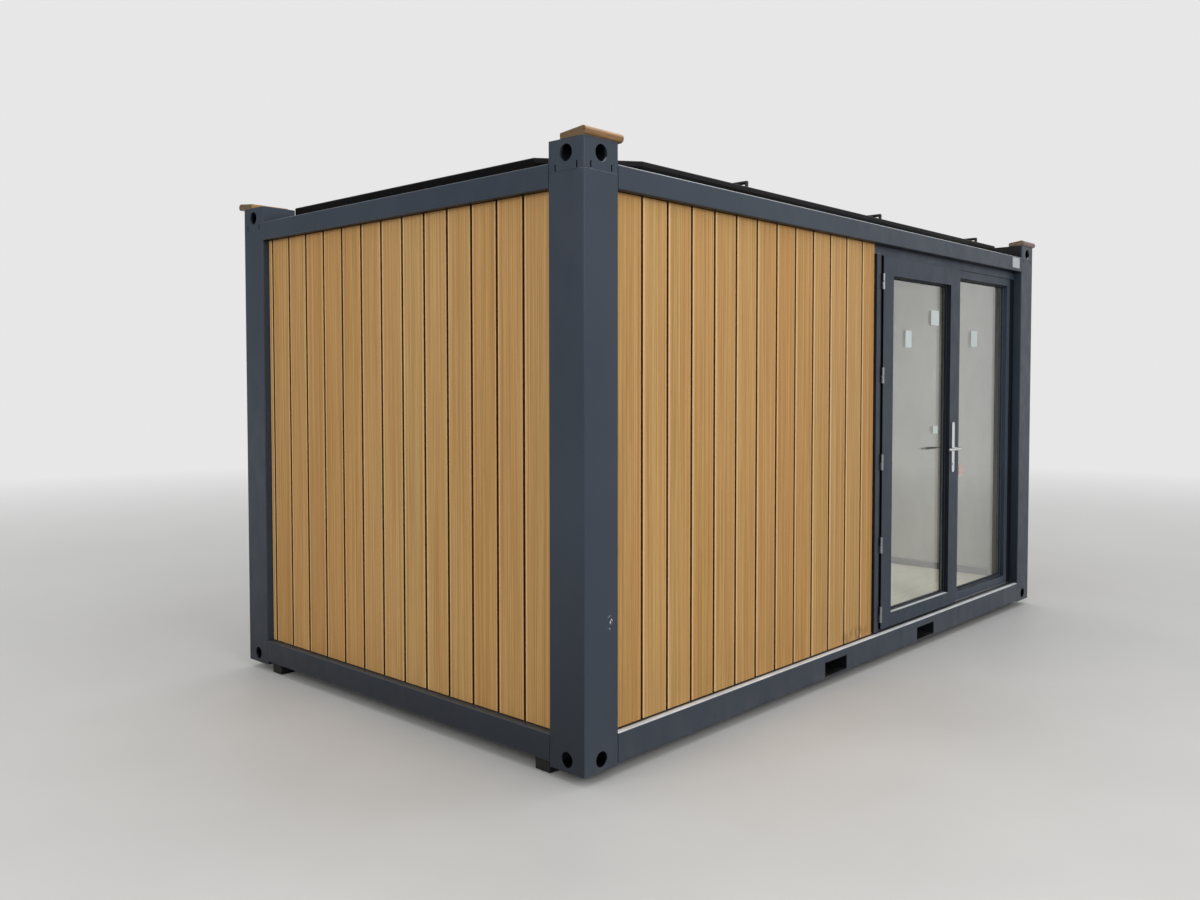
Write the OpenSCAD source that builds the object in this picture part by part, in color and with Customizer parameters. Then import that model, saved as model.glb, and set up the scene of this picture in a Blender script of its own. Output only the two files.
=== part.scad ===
// Portable office cabin: a welded corner-post frame with board cladding on insulated walls,
// a glazed door that opens outwards beside a fixed light, a raised roof deck and fork pockets.
// Millimetres, Z up. Lengths along X, the door on the -Y side, origin on the floor at mid plan.

/* [Overall] */
// Length over the corner posts
cabin_l = 4760; // [3600:10:9000]
// Width over the corner posts
cabin_w = 2720; // [2000:10:3200]
// Height from the post feet to the tops of the corner blocks
frame_h = 2600; // [2400:10:3000]
// Height of the post feet above the ground
foot_lift = 42; // [30:1:150]

/* [Posts and corner blocks] */
// Outer width of a corner post
post_w = 205; // [140:5:260]
// Wall of a corner post
post_t = 8; // [5:1:12]
// Radius of the upright edges of a post and its block
post_r = 6; // [2:1:12]
// Height of a top corner block
corner_h = 130; // [110:5:180]
// Wall of a top corner block
corner_t = 14; // [10:1:20]
// Diameter of the round holes in the top corner blocks
top_hole_d = 70; // [50:1:80]
// Depth of the top hole centres below the block's top
top_hole_drop = 58; // [50:1:75]
// Diameter of the round holes in the post feet
foot_hole_d = 66; // [40:1:75]
// Height of the foot hole centres above the post's foot
foot_hole_rise = 52; // [45:1:80]
// Width of the small slots below a top hole
slot_w = 8; // [5:1:12]
// Height of the small slots below a top hole
slot_h = 28; // [10:1:32]
// Rise of the small slots above the block's lower edge
slot_rise = 4; // [2:1:10]
// Distance of each slot from the middle of its face
slot_off = 62; // [40:1:70]

/* [Rails] */
// Depth of every rail, front to back
rail_d = 55; // [45:5:80]
// Wall of every rail
rail_t = 5; // [3:1:8]
// Radius of the long edges of every rail and joist
rail_r = 7; // [2:1:9]
// Height of the long bottom rails
long_rail_h = 132; // [110:2:180]
// Rise of the long bottom rails above the post feet
long_rail_lift = 6; // [2:1:20]
// Height of the end bottom rails
end_rail_h = 120; // [100:2:180]
// Rise of the end bottom rails above the post feet
end_rail_lift = 18; // [2:1:30]
// Height of the top rails
top_rail_h = 103; // [80:1:140]
// Drop of the top rails below the corner blocks' tops
top_rail_drop = 88; // [60:1:110]

/* [Floor] */
// Thickness of the floor deck
deck_t = 22; // [15:1:40]
// Thickness of the floor covering inside
floor_t = 12; // [4:1:20]
// Height of a floor joist
joist_h = 80; // [50:5:90]
// Width of a floor joist
joist_w = 50; // [30:5:80]
// Wall of a floor joist
joist_t = 4; // [3:1:6]
// Joists between each end and its fork pocket
outer_joists = 3; // [1:1:6]

/* [Fork pockets] */
// Clear width of a fork pocket
fork_w = 226; // [180:2:300]
// Clear height of a fork pocket
fork_h = 74; // [60:2:90]
// Wall of a fork pocket
fork_t = 5; // [3:1:8]
// Distance between the two pocket centres
fork_pitch = 1086; // [800:2:1400]
// Offset of the pocket pair from mid length
fork_shift = 146; // [-300:2:300]
// Rise of the pocket floor above the post feet
fork_rise = 19; // [17:1:30]

/* [Walls and cladding] */
// Thickness of the insulated wall panels
wall_t = 60; // [40:5:100]
// Thickness of the cladding boards
board_t = 20; // [12:1:28]
// Cover width of one cladding board
board_pitch = 173; // [100:1:220]
// Cover width of the first board beside a front or left post
first_board = 187; // [60:1:220]
// Gap between two boards
board_gap = 12; // [3:1:16]
// Depth of the gap between two boards
board_gap_depth = 12; // [4:1:15]
// Gap between the cladding and the posts
clad_side_gap = 4.5; // [2:0.5:20]
// Gap between the cladding and the top rail
clad_top_gap = 2; // [1:1:30]
// Gap between the cladding and the bottom rail
clad_foot_gap = 5; // [3:1:20]

/* [Ceiling and roof] */
// Thickness of the ceiling panel
ceiling_t = 20; // [10:1:40]
// Thickness of the roof panel between the top rails
roof_panel_t = 30; // [20:1:60]
// Height of the raised roof deck above the rails
roof_h = 67; // [40:1:80]
// Setback of the raised roof deck from the cabin's faces
roof_in = 93; // [60:1:200]
// Length of the roof deck's cut corners along the cabin
roof_cut_x = 372; // [200:2:600]
// Length of the roof deck's cut corners across the cabin
roof_cut_y = 300; // [200:2:600]
// Width of the kerb around the roof deck
kerb_w = 45; // [30:1:80]
// Depth of the roof field below the kerb
kerb_h = 18; // [8:1:30]

/* [Roof loops] */
// Bar diameter of the roof loops
loop_d = 18; // [10:1:20]
// Rise of the loops above the kerb
loop_rise = 34; // [30:1:60]
// Length of a loop between its leg centres
loop_l = 130; // [90:5:250]
// Distance of the first loop from the left end
loop_first = 1280; // [800:5:1600]
// Distance between two loops
loop_pitch = 1370; // [900:5:1500]

/* [Corner pads and feet] */
// Length of a timber pad along the cabin
pad_l = 228; // [205:1:300]
// Width of a timber pad
pad_w = 150; // [120:1:240]
// Width of the narrow timber pad on the front right post
right_pad_w = 110; // [90:1:240]
// Thickness of a timber pad at its round edge, also the diameter of that edge
pad_t = 38; // [25:1:60]
// Thickness of a timber pad at its other edge
pad_thin = 25; // [10:1:25]
// Overhang of the front pads past the front posts
pad_front_over = 12; // [0:1:20]
// Overhang of the back pads past the back posts
pad_over = 60; // [0:1:65]
// Length of a support foot along the cabin's end
foot_l = 90; // [60:5:300]
// Width of a support foot
foot_w = 90; // [60:5:250]
// Distance of a support foot from its post
foot_in = 20; // [5:5:300]
// Setback of a support foot from the cabin's end face
foot_set = 20; // [0:1:30]

/* [Door frame] */
// Setback of the door leaf and left jamb from the front
leaf_in = 20; // [10:1:40]
// Setback of the fixed frame bars from the front
bar_in = 54; // [40:1:80]
// Back plane of the door frame, from the front
frame_back = 126; // [110:1:150]
// Width of the left jamb
jamb_w = 53; // [40:1:90]
// Gap for the hinges between the left jamb and the leaf
hinge_gap = 27; // [24:1:40]
// Running gap at the leaf's free edges
leaf_gap = 8; // [6:1:12]
// Gap below the leaf
leaf_under = 6; // [6:1:15]
// Gap between the leaf's back and its stops
stop_gap = 6; // [5:1:10]
// Overlap of the stops behind the leaf
stop_lap = 20; // [10:1:30]
// Width of the mullion beside the leaf
mullion_w = 49; // [40:1:80]
// Width of the right jamb
right_jamb_w = 60; // [40:1:90]
// Height of the head above the leaf
head_h = 55; // [40:1:90]
// Width of the fixed light over its sash
sash_l = 895; // [400:5:1500]
// Width of the fixed light's sash bars
sash_w = 60; // [40:1:90]
// Front setback of the sash behind the frame bars
sash_in = 4; // [0:1:10]
// Thickness of the sash
sash_t = 60; // [50:1:68]

/* [Door leaf] */
// Width of the door leaf
leaf_w = 1020; // [800:5:1100]
// Thickness of the door leaf
leaf_t = 64; // [45:1:64]
// Width of the leaf's hinge stile
hinge_stile = 132; // [80:1:140]
// Width of the leaf's lock stile
lock_stile = 124; // [110:1:150]
// Height of the leaf's top bar
leaf_top_bar = 116; // [80:1:150]
// Height of the leaf's bottom bar
leaf_bottom_bar = 90; // [70:1:200]
// Thickness of the glass units
glass_t = 16; // [6:1:28]
// Depth of the glass behind the face of its frame
glass_in = 38; // [20:1:40]
// Depth that the glass runs into its frame
glass_lap = 14; // [8:1:20]
// Width of the bead that holds the glass
bead_w = 8; // [4:1:15]
// Depth of the bead in front of the glass
bead_d = 10; // [6:1:14]

/* [Hinges] */
// Height of the lowest hinge above the leaf's foot
hinge_low = 92; // [60:1:300]
// Depth of the highest hinge below the leaf's top
hinge_high = 149; // [60:1:300]
// Places of the hinges between the lowest at 0 and the highest at 1
hinge_places = [0, 0.21, 0.46, 0.72, 1];
// Height of one hinge
hinge_h = 92; // [60:2:140]
// Diameter of a hinge knuckle
knuckle_d = 18; // [14:1:22]
// Diameter of a hinge pin
pin_d = 9; // [6:1:12]
// Radial clearance of a hinge pin
pin_fit = 0.3; // [0.1:0.1:0.6]
// Gap between the two knuckles of a hinge
knuckle_gap = 1.5; // [1:0.5:4]
// Distance of the hinge axis in front of the leaf's face
axis_out = 6; // [4:1:12]
// Thickness of a hinge flap in the gap beside the leaf
flap_t = 6; // [3:1:8]
// Reach of a hinge flap behind the hinge axis
flap_reach = 24; // [20:1:40]

/* [Lever handles] */
// Height of the lever spindle above the post feet
lever_z = 1179; // [1000:1:1300]
// Distance of the spindle from the leaf's free edge
backset = 74; // [50:1:90]
// Width of a handle backplate
plate_w = 38; // [28:1:50]
// Height of a handle backplate
plate_h = 328; // [220:2:380]
// Thickness of a handle backplate
plate_t = 8; // [4:1:10]
// Drop of the backplate's foot below the spindle
plate_drop = 154; // [135:1:200]
// Length of a lever from the spindle
lever_l = 160; // [90:1:180]
// Diameter of a lever bar
lever_d = 18; // [14:1:24]
// Distance of a lever bar's middle from the leaf's face
lever_out = 56; // [36:1:70]
// Diameter of a lever's neck
neck_d = 20; // [16:1:26]
// Gap between a lever's neck and its backplate
neck_gap = 1; // [0.5:0.5:3]
// Diameter of the lock barrel below a lever
lock_d = 17; // [14:1:22]
// Drop of the lock barrel below the spindle
lock_drop = 102; // [60:1:110]
// Rise of the lock barrel above its backplate
lock_rise = 4; // [2:1:8]
// Diameter of the spindle
spindle_d = 12; // [8:1:14]
// Radial clearance of the spindle in the plates and the leaf
spindle_fit = 1; // [0.5:0.5:3]

/* [Fits] */
// Clearance of a fork pocket in the rail
fork_fit = 0.3; // [0.1:0.1:1]
// Gap between neighbouring stops
stop_split = 1; // [0.5:0.5:3]

/* [Hidden] */
$fn = 64;
e = 1;
post_h = frame_h - corner_h;
rail_top = frame_h - top_rail_drop;
rail_under = rail_top - top_rail_h;
long_top = long_rail_lift + long_rail_h;
end_top = end_rail_lift + end_rail_h;
clad_back = rail_d;
clad_face = clad_back - board_t;
wall_in = rail_d + wall_t;
deck_z = long_top - deck_t;
floor_top = long_top + floor_t;
panel_z = rail_top - roof_panel_t;
span_x = cabin_l - 2 * post_w;
span_y = cabin_w - 2 * post_w;
fork_x = cabin_l / 2 + fork_shift;
right_jamb_x = cabin_l - post_w - right_jamb_w;
sash_x = right_jamb_x - sash_l;
mullion_x = sash_x - mullion_w;
leaf_end = mullion_x - leaf_gap;
leaf_x = leaf_end - leaf_w;
leaf_z = floor_top + leaf_under;
jamb_x = leaf_x - hinge_gap - jamb_w;
head_z = rail_under - head_h;
leaf_h = head_z - leaf_gap - leaf_z;
leaf_back = leaf_in + leaf_t;
stop_y = leaf_back + stop_gap;
sash_y = bar_in + sash_in;
axis_x = leaf_x - hinge_gap / 2;
axis_y = leaf_in - axis_out;
hinge_first = leaf_z + hinge_low;
hinge_run = leaf_h - hinge_low - hinge_high;
spindle_x = leaf_end - backset;
lever_reach = lever_out + lever_d / 2 - leaf_in;
roof_z = rail_top;
kerb_z = roof_z + roof_h;
loop_end = cabin_l - roof_in - roof_cut_x - loop_d;
loop_count = floor((loop_end - loop_first) / loop_pitch) + 1;
pad_reach = pad_l - post_w;
x_mid = (cabin_l + pad_reach) / 2;
y_mid = (cabin_w + pad_over - lever_reach) / 2;

// The cabin's left front post foot is at the corner of this frame, with X, Y and Z running into the cabin.
module in_place() {
    translate([-x_mid, -y_mid, foot_lift])
        children();
}

// Turns a shape made for the left front corner to another corner.
module corner_at(right, back) {
    translate([right * cabin_l, back * cabin_w, 0])
        mirror([right, 0, 0])
            mirror([0, back, 0])
                children();
}

module at_right() {
    translate([cabin_l, 0, 0])
        mirror([1, 0, 0])
            children();
}

module at_back() {
    translate([0, cabin_w, 0])
        mirror([0, 1, 0])
            children();
}

// A rectangle with round corners, its lower left corner at the origin.
module round_rect(l, h, r) {
    translate([r, 0])
        square([l - 2 * r, h]);
    translate([0, r])
        square([l, h - 2 * r]);
    for (x = [r, l - r])
        for (y = [r, h - r])
            translate([x, y])
                circle(r = r);
}

// A round hole through the front and the side wall of a corner.
module corner_holes(d, wall, z) {
    translate([post_w / 2, -e, z])
        rotate([-90, 0, 0])
            cylinder(d = d, h = wall + e);
    translate([-e, post_w / 2, z])
        rotate([0, 90, 0])
            cylinder(d = d, h = wall + e);
}

// A square post with a closed foot and a hole in each outer face.
module post_shape() {
    color("slategray")
        difference() {
            linear_extrude(post_h)
                round_rect(post_w, post_w, post_r);
            translate([post_t, post_t, post_t])
                cube([post_w - 2 * post_t, post_w - 2 * post_t, post_h]);
            corner_holes(foot_hole_d, post_t + e, foot_hole_rise);
        }
}

// A hollow corner block, open to the post below, with a hole and two slots in each outer face.
module corner_shape() {
    color("slategray")
        translate([0, 0, post_h])
            difference() {
                linear_extrude(corner_h)
                    round_rect(post_w, post_w, post_r);
                translate([corner_t, corner_t, -e])
                    cube([post_w - 2 * corner_t, post_w - 2 * corner_t, corner_h - corner_t + e]);
                corner_holes(top_hole_d, corner_t + e, corner_h - top_hole_drop);
                for (s = [-1, 1]) {
                    translate([post_w / 2 + s * slot_off - slot_w / 2, -e, slot_rise])
                        cube([slot_w, corner_t + 2 * e, slot_h]);
                    translate([-e, post_w / 2 + s * slot_off - slot_w / 2, slot_rise])
                        cube([corner_t + 2 * e, slot_w, slot_h]);
                }
            }
}

module corner_post_front_left() { corner_at(0, 0) post_shape(); }
module corner_post_front_right() { corner_at(1, 0) post_shape(); }
module corner_post_back_left() { corner_at(0, 1) post_shape(); }
module corner_post_back_right() { corner_at(1, 1) post_shape(); }
module corner_block_front_left() { corner_at(0, 0) corner_shape(); }
module corner_block_front_right() { corner_at(1, 0) corner_shape(); }
module corner_block_back_left() { corner_at(0, 1) corner_shape(); }
module corner_block_back_right() { corner_at(1, 1) corner_shape(); }

// The profile of a rolled box section.
module box_profile(d, h, wall) {
    difference() {
        round_rect(d, h, rail_r);
        translate([wall, wall])
            square([d - 2 * wall, h - 2 * wall]);
    }
}

// A box section along X, open at both ends.
module tube_x(l, d, h, wall) {
    rotate([90, 0, 90])
        linear_extrude(l)
            box_profile(d, h, wall);
}

// A box section along Y, open at both ends.
module tube_y(l, d, h, wall) {
    translate([0, l, 0])
        rotate([90, 0, 0])
            linear_extrude(l)
                box_profile(d, h, wall);
}

// The outside of one fork pocket over the full width, grown by a clearance.
module fork_body(side, grow, reach) {
    translate([fork_x + side * fork_pitch / 2 - fork_w / 2 - fork_t - grow, -reach, fork_rise - fork_t - grow])
        cube([fork_w + 2 * (fork_t + grow), cabin_w + 2 * reach, fork_h + 2 * (fork_t + grow)]);
}

module long_bottom_shape() {
    color("slategray")
        difference() {
            translate([post_w, 0, long_rail_lift])
                tube_x(span_x, rail_d, long_rail_h, rail_t);
            for (s = [-1, 1])
                fork_body(s, fork_fit, e);
        }
}

module end_bottom_shape() {
    color("slategray")
        translate([0, post_w, end_rail_lift])
            tube_y(span_y, rail_d, end_rail_h, rail_t);
}

module long_top_shape() {
    color("slategray")
        translate([post_w, 0, rail_under])
            tube_x(span_x, rail_d, top_rail_h, rail_t);
}

module end_top_shape() {
    color("slategray")
        translate([0, post_w, rail_under])
            tube_y(span_y, rail_d, top_rail_h, rail_t);
}

module front_bottom_rail() { long_bottom_shape(); }
// The pockets are off mid length, so the back rail is the front one moved straight back.
module back_bottom_rail() { translate([0, cabin_w - rail_d, 0]) long_bottom_shape(); }
module left_bottom_rail() { end_bottom_shape(); }
module right_bottom_rail() { at_right() end_bottom_shape(); }
module front_top_rail() { long_top_shape(); }
module back_top_rail() { at_back() long_top_shape(); }
module left_top_rail() { end_top_shape(); }
module right_top_rail() { at_right() end_top_shape(); }

module fork_pockets() {
    color("dimgray")
        for (s = [-1, 1])
            difference() {
                fork_body(s, 0, 0);
                translate([fork_x + s * fork_pitch / 2 - fork_w / 2, -e, fork_rise])
                    cube([fork_w, cabin_w + 2 * e, fork_h]);
            }
}

// Joists in even bays between each end rail and its pocket, and one midway between the pockets.
module floor_joists() {
    half = fork_pitch / 2 + fork_w / 2 + fork_t;
    left_bay = (fork_x - half - rail_d) / (outer_joists + 1);
    right_bay = (cabin_l - rail_d - fork_x - half) / (outer_joists + 1);
    color("dimgray")
        translate([-joist_w / 2, rail_d, deck_z - joist_h]) {
            for (i = [1 : outer_joists]) {
                translate([rail_d + i * left_bay, 0, 0])
                    tube_y(cabin_w - 2 * rail_d, joist_w, joist_h, joist_t);
                translate([cabin_l - rail_d - i * right_bay, 0, 0])
                    tube_y(cabin_w - 2 * rail_d, joist_w, joist_h, joist_t);
            }
            translate([fork_x, 0, 0])
                tube_y(cabin_w - 2 * rail_d, joist_w, joist_h, joist_t);
        }
}

// A level sheet that fills the plan from an edge setback inwards, notched around the four posts.
module notched_sheet(edge, z, t) {
    difference() {
        translate([edge, edge, z])
            cube([cabin_l - 2 * edge, cabin_w - 2 * edge, t]);
        for (r = [0, 1])
            for (b = [0, 1])
                corner_at(r, b)
                    translate([-e, -e, z - e])
                        cube([post_w + e, post_w + e, t + 2 * e]);
    }
}

module floor_deck() { color("peru") notched_sheet(rail_d, deck_z, deck_t); }

module floor_covering() {
    color("wheat")
        difference() {
            notched_sheet(wall_in, long_top, floor_t);
            translate([jamb_x - e, 0, long_top - e])
                cube([cabin_l - post_w - jamb_x + e, frame_back, floor_t + 2 * e]);
        }
}

// Solid blocks under the end rails, just inside each post.
module support_feet() {
    color("dimgray")
        for (r = [0, 1])
            for (b = [0, 1])
                corner_at(r, b)
                    translate([foot_set, post_w + foot_in, -foot_lift])
                        cube([foot_w, foot_l, foot_lift + end_rail_lift]);
}

module front_wall() {
    color("whitesmoke")
        translate([post_w, rail_d, long_top])
            cube([jamb_x - post_w, wall_t, panel_z - long_top]);
}

module back_wall() {
    color("whitesmoke")
        at_back()
            translate([post_w, rail_d, long_top])
                cube([span_x, wall_t, panel_z - long_top]);
}

module end_wall_shape() {
    color("whitesmoke")
        translate([rail_d, post_w, long_top])
            cube([wall_t, span_y, panel_z - long_top]);
}

module left_wall() { end_wall_shape(); }
module right_wall() { at_right() end_wall_shape(); }

module wall_over_door() {
    color("whitesmoke")
        translate([jamb_x, rail_d, rail_under])
            cube([cabin_l - post_w - jamb_x, wall_t, panel_z - rail_under]);
}

// Upright boards over a length, as one skin with a gap cut at each board edge. The face is on -Y.
module board_run(l, h) {
    linear_extrude(h)
        difference() {
            square([l, board_t]);
            for (x = [first_board : board_pitch : l - board_gap])
                translate([x - board_gap / 2, -e])
                    square([board_gap, board_gap_depth + e]);
        }
}

module long_boards(l) {
    color("peru")
        translate([post_w + clad_side_gap, clad_face, long_top + clad_foot_gap])
            board_run(l, rail_under - clad_top_gap - long_top - clad_foot_gap);
}

// The end boards start at the front post. Their run is turned by swapping X and Y.
module end_boards() {
    color("peru")
        translate([clad_face, post_w + clad_side_gap, end_top + clad_foot_gap])
            mirror([1, -1, 0])
                board_run(span_y - 2 * clad_side_gap, rail_under - clad_top_gap - end_top - clad_foot_gap);
}

module front_cladding() { long_boards(jamb_x - post_w - 2 * clad_side_gap); }
module back_cladding() { at_back() long_boards(span_x - 2 * clad_side_gap); }
module left_cladding() { end_boards(); }
module right_cladding() { at_right() end_boards(); }

module ceiling() { color("white") notched_sheet(wall_in, rail_under, ceiling_t); }
module roof_panel() { color("dimgray") notched_sheet(rail_d, panel_z, roof_panel_t); }

// The roof deck's outline at a setback from the cabin's faces, its cut corners moved in by the same distance.
module roof_outline(in) {
    lost = (in - roof_in) * (roof_cut_x + roof_cut_y - norm([roof_cut_x, roof_cut_y]));
    cut_x = roof_cut_x - lost / roof_cut_y;
    cut_y = roof_cut_y - lost / roof_cut_x;
    polygon([
        [in + cut_x, in], [cabin_l - in - cut_x, in],
        [cabin_l - in, in + cut_y], [cabin_l - in, cabin_w - in - cut_y],
        [cabin_l - in - cut_x, cabin_w - in], [in + cut_x, cabin_w - in],
        [in, cabin_w - in - cut_y], [in, in + cut_y]]);
}

// A raised deck with a kerb around its edge.
module roof_deck() {
    color("black")
        translate([0, 0, roof_z])
            difference() {
                linear_extrude(roof_h)
                    roof_outline(roof_in);
                translate([0, 0, roof_h - kerb_h])
                    linear_extrude(kerb_h + e)
                        roof_outline(roof_in + kerb_w);
            }
}

// A bar loop with one leg on the kerb and one in the roof field.
module loop_shape() {
    y0 = roof_in + kerb_w / 2;
    top = kerb_z + loop_rise - loop_d / 2;
    translate([0, y0, kerb_z])
        cylinder(d = loop_d, h = top - kerb_z);
    translate([0, y0 + loop_l, kerb_z - kerb_h])
        cylinder(d = loop_d, h = top - kerb_z + kerb_h);
    translate([0, y0, top])
        sphere(d = loop_d);
    translate([0, y0 + loop_l, top])
        sphere(d = loop_d);
    translate([0, y0, top])
        rotate([-90, 0, 0])
            cylinder(d = loop_d, h = loop_l);
}

// As many loops as the straight part of the roof's edge holds, on the front and on the back.
module roof_loops() {
    color("silver")
        for (i = [0 : loop_count - 1])
            translate([loop_first + i * loop_pitch, 0, 0]) {
                loop_shape();
                at_back()
                    loop_shape();
            }
}

// A tapered board of some width with a half-round edge on its thick side.
module pad_shape(w) {
    r = pad_t / 2;
    rotate([90, 0, 90])
        linear_extrude(pad_l) {
            translate([r, r])
                circle(r);
            polygon([[r, 0], [w, 0], [w, pad_thin], [r, pad_t]]);
        }
}

// Timber pads lying on the corner blocks, slid to the right and outwards.
module corner_pads() {
    color("saddlebrown")
        for (r = [0, 1])
            translate([r * (cabin_l - post_w), 0, frame_h]) {
                translate([0, -pad_front_over, 0])
                    pad_shape(r == 0 ? pad_w : right_pad_w);
                translate([0, cabin_w + pad_over, 0])
                    mirror([0, 1, 0])
                        pad_shape(pad_w);
            }
}

// An upright bar of the door frame between the sill and the head.
module frame_bar(x, w, front) {
    color("slategray")
        translate([x, front, floor_top])
            cube([w, frame_back - front, head_z - floor_top]);
}

module door_left_jamb() { frame_bar(jamb_x, jamb_w, leaf_in); }
module door_mullion() { frame_bar(mullion_x, mullion_w, bar_in); }
module door_right_jamb() { frame_bar(right_jamb_x, right_jamb_w, bar_in); }

module door_head() {
    color("slategray")
        translate([jamb_x, bar_in, head_z])
            cube([cabin_l - post_w - jamb_x, frame_back - bar_in, head_h]);
}

module door_sill() {
    color("silver")
        translate([jamb_x, bar_in, long_top])
            cube([cabin_l - post_w - jamb_x, frame_back - bar_in, floor_top - long_top]);
}

// Stops behind the leaf at both sides and at the top.
module door_stops() {
    stop_d = frame_back - stop_y;
    side_h = head_z - leaf_gap - stop_lap - stop_split - floor_top;
    color("slategray") {
        translate([jamb_x + jamb_w, stop_y, floor_top])
            cube([hinge_gap + stop_lap, stop_d, side_h]);
        translate([leaf_end - stop_lap, stop_y, floor_top])
            cube([stop_lap + leaf_gap, stop_d, side_h]);
        translate([jamb_x + jamb_w, stop_y, head_z - leaf_gap - stop_lap])
            cube([mullion_x - jamb_x - jamb_w, stop_d, leaf_gap + stop_lap]);
    }
}

// A pane that runs into its frame by the lap on every side, from inner opening sizes.
module pane(x, y, z, l, h) {
    translate([x - glass_lap, y, z - glass_lap])
        cube([l + 2 * glass_lap, glass_t, h + 2 * glass_lap]);
}

// The opening of a glazed frame: narrow at the glass and wider in front of its bead.
module glazed_opening(x, face, z, l, h, depth) {
    translate([x, face - e, z])
        cube([l, depth + 2 * e, h]);
    translate([x - bead_w, face - e, z - bead_w])
        cube([l + 2 * bead_w, glass_in - bead_d + e, h + 2 * bead_w]);
}

module fixed_pane() {
    pane(sash_x + sash_w, sash_y + glass_in, floor_top + sash_w, sash_l - 2 * sash_w, head_z - floor_top - 2 * sash_w);
}

module fixed_sash() {
    color("slategray")
        difference() {
            translate([sash_x, sash_y, floor_top])
                cube([sash_l, sash_t, head_z - floor_top]);
            glazed_opening(sash_x + sash_w, sash_y, floor_top + sash_w,
                sash_l - 2 * sash_w, head_z - floor_top - 2 * sash_w, sash_t);
            fixed_pane();
        }
}

module fixed_glass() { color("lightcyan", 0.4) fixed_pane(); }

module leaf_pane() {
    pane(leaf_x + hinge_stile, leaf_in + glass_in, leaf_z + leaf_bottom_bar,
        leaf_w - hinge_stile - lock_stile, leaf_h - leaf_bottom_bar - leaf_top_bar);
}

// A round bar along Y on the spindle's line, moved up by a distance.
module bar_y(d, from, to, up = 0) {
    translate([spindle_x, from, lever_z + up])
        rotate([-90, 0, 0])
            cylinder(d = d, h = to - from);
}

module spindle_hole() {
    bar_y(spindle_d + 2 * spindle_fit, leaf_in - plate_t - e, leaf_back + plate_t + e);
}

module door_leaf() {
    color("slategray")
        difference() {
            translate([leaf_x, leaf_in, leaf_z])
                cube([leaf_w, leaf_t, leaf_h]);
            glazed_opening(leaf_x + hinge_stile, leaf_in, leaf_z + leaf_bottom_bar,
                leaf_w - hinge_stile - lock_stile, leaf_h - leaf_bottom_bar - leaf_top_bar, leaf_t);
            leaf_pane();
            spindle_hole();
        }
}

module door_glass() { color("lightcyan", 0.4) leaf_pane(); }

// The jamb's half of each hinge: a lower knuckle with a pin standing up from it and an angle flap on the jamb.
module hinge_pins() {
    color("silver")
        for (k = hinge_places)
            translate([axis_x, axis_y, hinge_first + k * hinge_run]) {
                translate([0, 0, -hinge_h / 2])
                    cylinder(d = knuckle_d, h = hinge_h / 2 - knuckle_gap / 2);
                translate([0, 0, -hinge_h / 2])
                    cylinder(d = pin_d, h = hinge_h - 3);
                translate([-hinge_gap / 2, -flap_t / 2, -hinge_h / 2])
                    cube([hinge_gap / 2, flap_t, hinge_h / 2 - knuckle_gap / 2]);
                translate([-hinge_gap / 2, -flap_t / 2, -hinge_h / 2])
                    cube([flap_t, flap_reach, hinge_h / 2 - knuckle_gap / 2]);
            }
}

// The leaf's half of each hinge: an upper knuckle bored for the pin and an angle flap on the leaf's edge.
module hinge_knuckles() {
    color("silver")
        for (k = hinge_places)
            translate([axis_x, axis_y, hinge_first + k * hinge_run + knuckle_gap / 2])
                difference() {
                    union() {
                        cylinder(d = knuckle_d, h = hinge_h / 2 - knuckle_gap / 2);
                        translate([0, -flap_t / 2, 0])
                            cube([hinge_gap / 2, flap_t, hinge_h / 2 - knuckle_gap / 2]);
                        translate([hinge_gap / 2 - flap_t, -flap_t / 2, 0])
                            cube([flap_t, flap_reach, hinge_h / 2 - knuckle_gap / 2]);
                    }
                    translate([0, 0, -e])
                        cylinder(d = pin_d + 2 * pin_fit, h = hinge_h);
                }
}

// A backplate with round ends, from one depth on the leaf's side.
module plate_shape(y) {
    run = plate_h - plate_w;
    foot = plate_w / 2 - plate_drop;
    translate([spindle_x - plate_w / 2, y, lever_z + foot])
        cube([plate_w, plate_t, run]);
    bar_y(plate_w, y, y + plate_t, foot);
    bar_y(plate_w, y, y + plate_t, foot + run);
}

// Both backplates, each with the end of the lock barrel standing out of it.
module handle_plates() {
    color("silver")
        difference() {
            union() {
                plate_shape(leaf_in - plate_t);
                plate_shape(leaf_back);
                bar_y(lock_d, leaf_in - plate_t - lock_rise, leaf_in - e, -lock_drop);
                bar_y(lock_d, leaf_back + e, leaf_back + plate_t + lock_rise, -lock_drop);
            }
            spindle_hole();
        }
}

// A lever bar that points at the hinge side, on one side of the leaf.
module lever_bar(y) {
    translate([spindle_x, y, lever_z]) {
        sphere(d = lever_d);
        rotate([0, -90, 0])
            cylinder(d = lever_d, h = lever_l - lever_d / 2);
        translate([lever_d / 2 - lever_l, 0, 0])
            sphere(d = lever_d);
    }
}

// Both levers and the spindle between them turn as one.
module lever_handles() {
    color("silver") {
        lever_bar(leaf_in - lever_out);
        lever_bar(leaf_back + lever_out);
        bar_y(neck_d, leaf_in - lever_out, leaf_in - plate_t - neck_gap);
        bar_y(neck_d, leaf_back + plate_t + neck_gap, leaf_back + lever_out);
        bar_y(spindle_d, leaf_in - lever_out, leaf_back + lever_out);
    }
}

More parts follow.
